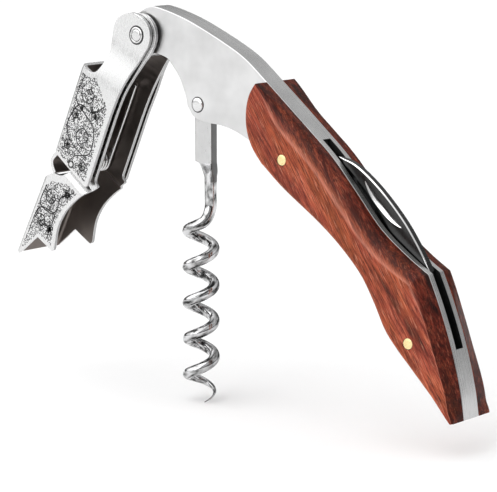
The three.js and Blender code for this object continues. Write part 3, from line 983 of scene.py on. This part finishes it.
def make_pins():
    """The head pin with its painted dark ring, the worm's domed pin, the hinge pin and the head's washers."""
    half = [(1.9, 5.48), (1.86, 5.6), (1.74, 5.68), (1.56, 5.7), (1.46, 5.6), (1.36, 5.6), (1.24, 5.74),
            (1.05, 5.81), (0.8, 5.83), (0, 5.83)]
    head = lathe("pin", (0, 0), mirrored(half))
    # Painted reflection: a ring of the head's faces takes the black inlay material to stand for the dark ring
    # the polished head reflects
    for face in head.data.polygons:
        radius = math.hypot(face.center.x, face.center.z)
        face.material_index = 1 if 1.3 < radius < 1.5 and abs(face.center.y) > 5.55 else 0
    place(head, "lever_pivot_pin_polished", "handle", [pin_steel, engraving_and_shade_ink], ["lever_pivot_pin"])
    dome = [(1.15, 2.88), (1.56, 2.88), (1.6, 2.96), (1.53, 3.13), (1.3, 3.26), (0.92, 3.34), (0.45, 3.37),
            (0, 3.38)]
    worm_pin = lathe("pin", WORM_PIVOT, mirrored(dome))
    place(worm_pin, "worm_pin_polished", "handle", [pin_steel], ["worm_pin"])
    end = [(0.6, LEVER_HALF - 0.08), (0.54, LEVER_HALF + 0.02), (0, LEVER_HALF + 0.03)]
    hinge = lathe("pin", HINGE, mirrored(end), 32)
    place(hinge, "lever_hinge_pin_polished", "upper_lever", [pin_steel], ["lever_hinge_pin"],
          LEVER)
    profile = [(2.0, 2.95), (4.55, 2.95), (4.7, 3.03), (4.7, 3.32), (4.55, 3.4), (2.0, 3.4)]
    for side, name in ((-1, "near"), (1, "far")):
        ring = lathe("washer", (0, 0), [(r, side * y) for r, y in profile])
        place(ring, f"lever_washer_{name}_nylon", "handle", [washer_nylon],
              [f"lever_washer_{name}"])


def make_spring():
    """A wire that comes down inside the wall, coils round the hinge pin and ends on the web."""
    radius, wire, leg_y, coil_step = 2.3, 0.42, 3.6, 0.95
    steps = 20
    points = [(-1.9, 2.0, -14.3), (-2.3, 3.2, -14.9), (-2.7, leg_y, -16.2), (-2.8, leg_y, -24),
              (-3.0, leg_y, -31.5)]
    for i in range(3 * steps + steps // 2 + 1):
        turn = 2 * math.pi * i / steps
        points.append((HINGE[0] + radius * math.cos(turn), leg_y - coil_step * i / steps,
                       HINGE[1] - radius * math.sin(turn)))
    points += [(HINGE[0] - 2.0, 0.3, HINGE[1] + 3), (HINGE[0] - 3.4, 0.3, HINGE[1] + 7)]
    spring = tube("spring", curve_through(points, 3), wire, 12)
    place(spring, "lever_spring_wire", "upper_lever", [spring_steel], ["lever_spring"],
          LEVER)


# ---- worm


def make_worm():
    """One forged body: the flat tang thins to a round shank, which winds into the helix."""
    sides = 28
    radius, pitch, wire, turns = 3.07, 8.5, 1.28, 5.1
    shank_x, shank_radius = 17.8, 1.45
    tang_left, tang_right, tang_half, squareness = 13.85, 18.95, 1.1, 9
    rings = []

    def flat_ring(z, left, right, thick, square):
        centre, half = (left + right) / 2, (right - left) / 2
        ring = []
        for k in range(sides):
            a = 2 * math.pi * k / sides
            c, s = math.cos(a), math.sin(a)
            ring.append((centre + half * math.copysign(abs(c) ** (2 / square), c),
                         thick * math.copysign(abs(s) ** (2 / square), s), z))
        return ring

    eye_top = WORM_PIVOT[1] + 2.4
    eye = ((eye_top, 1.3), (eye_top - 0.35, 0.6), (eye_top - 1.1, 0.15), (WORM_PIVOT[1], 0))
    for z, trim in (*eye, (-20, 0), (-27.9, 0)):
        rings.append(flat_ring(z, tang_left + trim, tang_right - trim, tang_half, squareness))
    for k in range(13):
        share = k / 12
        rounding = smoothstep(share, 0, 1)
        left = tang_left + 2.5 * math.sqrt(1 - (1 - share) ** 2)
        thick = tang_half + (shank_radius - tang_half) * rounding
        square = squareness - (squareness - 2) * rounding
        rings.append(flat_ring(-28.4 - 3.6 * share, left, tang_right + 0.3 * share, thick, square))

    path = [Vector((shank_x, 0, -33 - k)) for k in range(5)]
    start = Vector((shank_x, 0, -38))
    first_turn = 0.12
    angle = 2 * math.pi * first_turn

    def on_helix(turn):
        a = 2 * math.pi * turn
        return Vector((shank_x - radius + radius * math.cos(a), -radius * math.sin(a), -41.4 - pitch * turn))

    end = on_helix(first_turn)
    slope = Vector((-math.sin(angle) * radius, -math.cos(angle) * radius, -pitch / (2 * math.pi)))
    start_pull, end_pull = Vector((0, 0, -4.2)), slope.normalized() * 4.6
    for k in range(1, 15):
        t = k / 15
        h = (2 * t**3 - 3 * t**2 + 1, t**3 - 2 * t**2 + t, 3 * t**2 - 2 * t**3, t**3 - t**2)
        path.append(start * h[0] + start_pull * h[1] + end * h[2] + end_pull * h[3])
    per_turn = 40
    count = int((turns - first_turn) * per_turn)
    path += [on_helix(first_turn + (turns - first_turn) * k / count) for k in range(count + 1)]

    side = Vector((1, 0, 0))
    lengths = run_lengths(path)
    for centre, tangent, length in zip(path, tangents(path), lengths):
        side = (side - tangent * side.dot(tangent)).normalized()
        size = shank_radius + (wire - shank_radius) * smoothstep(length, 0, 14)
        size *= 0.05 + 0.95 * smoothstep(lengths[-1] - length, -2.0, 17)
        rings.append(round_section(centre, size, side, side.cross(tangent), sides))
    worm = loft("worm", rings)
    along = run_lengths([sum((Vector(point) for point in ring), Vector()) / sides for ring in rings])
    wire_map = worm.data.uv_layers.new(name="wire").data
    for face in worm.data.polygons:
        corners = [(i, worm.data.loops[i].vertex_index) for i in face.loop_indices]
        at_seam = any(vertex % sides == sides - 1 for _, vertex in corners)
        for i, vertex in corners:
            around = sides if at_seam and vertex % sides == 0 else vertex % sides
            wire_map[i].uv = (around / sides, along[vertex // sides])
    combine(worm, [rod(WORM_PIVOT, WORM_PIN_HOLE, PAST_FRAME)])
    for face in worm.data.polygons:
        on_tang = face.center.z > -28.6
        # Painted shade: faces of the tang and shank top that face +X take the dark steel
        forged = face.normal.x > 0.7 and face.center.z > -33
        face.material_index = 1 if forged else 2 if on_tang else 0
    place(worm, "worm_forged", "screw", [worm_steel, tang_side_shade, tang_steel], ["worm"],
          smooth=40)


# ---- knife


def make_knife():
    """The blade between its back and its edge, its tang, and the nail nick cut into the near face."""
    half, bevel = 0.95, 0.27
    back = curve_through([(55.1, -23.8), (60.3, -25.3), (66.6, -29.7), (72.8, -35.7), (76.8, -40.8),
                          (79.3, -44.6)], 9)
    edge = curve_through([(55.1, -23.8), (59, -28.4), (63.2, -33.9), (67.6, -39.9), (72.3, -46.2)], 9)

    def at(path, share):
        spot = share * (len(path) - 1)
        i = min(int(spot), len(path) - 2)
        f = spot - i
        return Vector((path[i][0] * (1 - f) + path[i + 1][0] * f, path[i][1] * (1 - f) + path[i + 1][1] * f))

    def near(face, path):
        return min(math.dist((face.center.x, face.center.z), point) for point in path)

    rings = []
    count = 48
    for i in range(count + 1):
        share = 0.012 + 0.988 * i / count
        top, low = at(back, share), at(edge, share)
        thick = half * min(1.0, 0.3 + share * 7)
        cut = bevel * min(1.0, 0.2 + share * 4)
        shoulder = top + (low - top).normalized() * min(cut, (low - top).length * 0.3)
        ground = shoulder.lerp(low, 0.62)
        near_side = [(top, cut - thick), (shoulder, -thick), (ground, -thick), (low, -0.05)]
        far_side = [(flat, -y) for flat, y in reversed(near_side)]
        rings.append([(flat.x, y, flat.y) for flat, y in near_side + far_side])
    blade = loft("blade", rings)
    tang = outline(
        (78.6, -43.6),
        [(80.2, -46.2)],
        [(80.35, -49.6), (79.3, -52.4), (77, -53.3), (74.7, -52.4), (73.7, -50)],
        [(72.6, -46.0)],
    )
    combine(blade, [rounded_prism(tang, half, 0.2, "tang")], "UNION")
    nick = curve_through([(62.9, -28.6), (64.4, -31.4), (66.9, -34.1), (69.8, -36.4), (72.5, -37.6)], 6)
    nick_floor = curve_through([(64.1, -30.5), (65.3, -31.95), (67.3, -33.8), (69.6, -35.75),
                                (71.4, -36.85)], 6)
    rim = [(x - 0.2 * n.x, z - 0.2 * n.y) for (x, z), n in zip(nick, inward_normals(nick))]
    levels = ((rim, -1.3), (rim, -half - 0.01), (nick, -half + 0.16), (nick_floor, -0.25))
    cutter = loft("nick", [[(x, y, z) for x, z in path] for path, y in levels])
    combine(blade, [cutter, rod(KNIFE_PIVOT, KNIFE_PIN_HOLE, PAST_FRAME)])
    # Painted highlight: the back's bevels, the nick's rim and its walls facing towards_back take the
    # near-white steel
    towards_back = Vector((0.72, 0, 0.69))
    for face in blade.data.polygons:
        on_bevel = 0.4 < abs(face.normal.y) < 0.9 and near(face, back) < 0.7
        in_nick = -half + 0.003 < face.center.y < -0.26 and near(face, nick) < 1.4
        rim_face = in_nick and face.center.y < -half + 0.15
        lit_wall = in_nick and face.normal.dot(towards_back) > 0.1
        face.material_index = 1 if on_bevel or rim_face or lit_wall else 0
    place(blade, "knife_blade_ground", "foil_knife", [blade_steel, highlight_edge_steel],
          ["knife_blade"])


def dress_hidden_nodes():
    """Small inner nodes keep their solids and take the finished materials."""
    looks = {"knife_pin": pin_steel, "back_spring_pin": pin_steel, "back_spring": spring_steel}
    for washer in ("knife_washer", "worm_washer"):
        looks[washer + "_near"] = looks[washer + "_far"] = rivet_brass
    for node, material in looks.items():
        slots = frame["nodes"][node].data.materials
        slots.clear()
        slots.append(material)


# ---- stage


def make_stage():
    """A wide floor, and a white wall all round that neither lights the object nor shades it. In metres."""
    floor_half, wall_radius, gap = 40.0, 5.0, 0.0003
    build = bmesh.new()
    corners = [(x * floor_half, y * floor_half, 0) for x, y in ((-1, -1), (1, -1), (1, 1), (-1, 1))]
    build.faces.new([build.verts.new(corner) for corner in corners])
    floor = to_object("floor", build)
    floor.location.z = cad_box[0][2] - gap
    floor.data.materials.append(pale_floor())
    build = bmesh.new()
    bmesh.ops.create_uvsphere(build, u_segments=64, v_segments=32, radius=wall_radius)
    backdrop = to_object("backdrop", build)
    backdrop.data.materials.append(white_paper())
    for ray in ("diffuse", "glossy", "transmission", "volume_scatter", "shadow"):
        setattr(backdrop, f"visible_{ray}", False)


def soft_sun(name, from_direction, angle, strength):
    data = bpy.data.lights.new(name, "SUN")
    data.angle = math.radians(angle)
    data.energy = strength
    light = bpy.data.objects.new(name, data)
    light.rotation_euler = Vector(from_direction).to_track_quat("Z", "Y").to_euler()
    bpy.context.scene.collection.objects.link(light)


def make_lights():
    """Two suns in a grey studio, with spots given by direction, cosines at full and at the end, and level."""
    bpy.context.scene.view_settings.view_transform = "Standard"
    world = bpy.data.worlds.new("studio")
    bpy.context.scene.world = world
    world.use_nodes = True
    tree = world.node_tree
    direction = tree.nodes.new("ShaderNodeTexCoord").outputs["Generated"]
    grey = (0.40, 0.40, 0.405, 1)
    soft_box = ((-0.50, -0.45, 0.74), 0.95, 0.55, 1.25)
    dark_horizon = ((0.0, 0.0, 1.0), 0.02, 0.34, 0.05)
    dark_corner = ((0.63, -0.75, 0.26), 0.93, 0.72, 0.01)
    pale_corner = ((0.62, 0.75, 0.18), 0.98, 0.85, 0.50)
    front_lamp = ((-0.05, -0.88, 0.46), 0.97, 0.90, 1.5)
    dark_back = ((-0.05, 0.80, 0.58), 0.92, 0.62, 0.17)
    shade = None
    spots = (soft_box, dark_horizon, dark_corner, pale_corner, front_lamp, dark_back)
    for towards, near, far, level in spots:
        across = tree.nodes.new("ShaderNodeVectorMath")
        across.operation = "DOT_PRODUCT"
        across.inputs[1].default_value = Vector(towards).normalized()
        tree.links.new(direction, across.inputs[0])
        spot = tree.nodes.new("ShaderNodeMapRange")
        spot.interpolation_type = "SMOOTHSTEP"
        spot.inputs["From Min"].default_value = far
        spot.inputs["From Max"].default_value = near
        tree.links.new(across.outputs["Value"], spot.inputs["Value"])
        layer = tree.nodes.new("ShaderNodeMix")
        layer.data_type = "RGBA"
        layer.inputs[6].default_value = grey
        layer.inputs[7].default_value = (level, level, level, 1)
        tree.links.new(spot.outputs["Result"], layer.inputs[0])
        if shade:
            tree.links.new(shade, layer.inputs[6])
        shade = layer.outputs[2]
    tree.links.new(shade, tree.nodes["Background"].inputs["Color"])
    soft_sun("key", (-0.45, -0.62, 0.64), 100, 1.1)
    soft_sun("top", (-0.05, -0.2, 1), 150, 1.3)


def make_camera():
    azimuth, elevation = math.radians(40), math.radians(10)
    distance = 523
    level = math.cos(elevation)
    look = Vector((-math.sin(azimuth) * level, math.cos(azimuth) * level, -math.sin(elevation)))
    aim = TOOL @ Vector((29.1, 0, -46.7))
    data = bpy.data.cameras.new("camera")
    data.lens = 166.6
    data.sensor_width = 36
    data.clip_start = 0.01
    camera = bpy.data.objects.new("camera", data)
    camera.location = aim - look * distance * MM
    camera.rotation_euler = look.to_track_quat("-Z", "Y").to_euler()
    bpy.context.scene.collection.objects.link(camera)
    bpy.context.scene.camera = camera


make_camera()
make_frame()
make_scale("scale_near", -1)
make_scale("scale_far", 1)
make_rivets()
make_first_lever()
make_second_lever()
make_engravings()
make_pins()
make_spring()
make_worm()
make_knife()
dress_hidden_nodes()
make_stage()
make_lights()
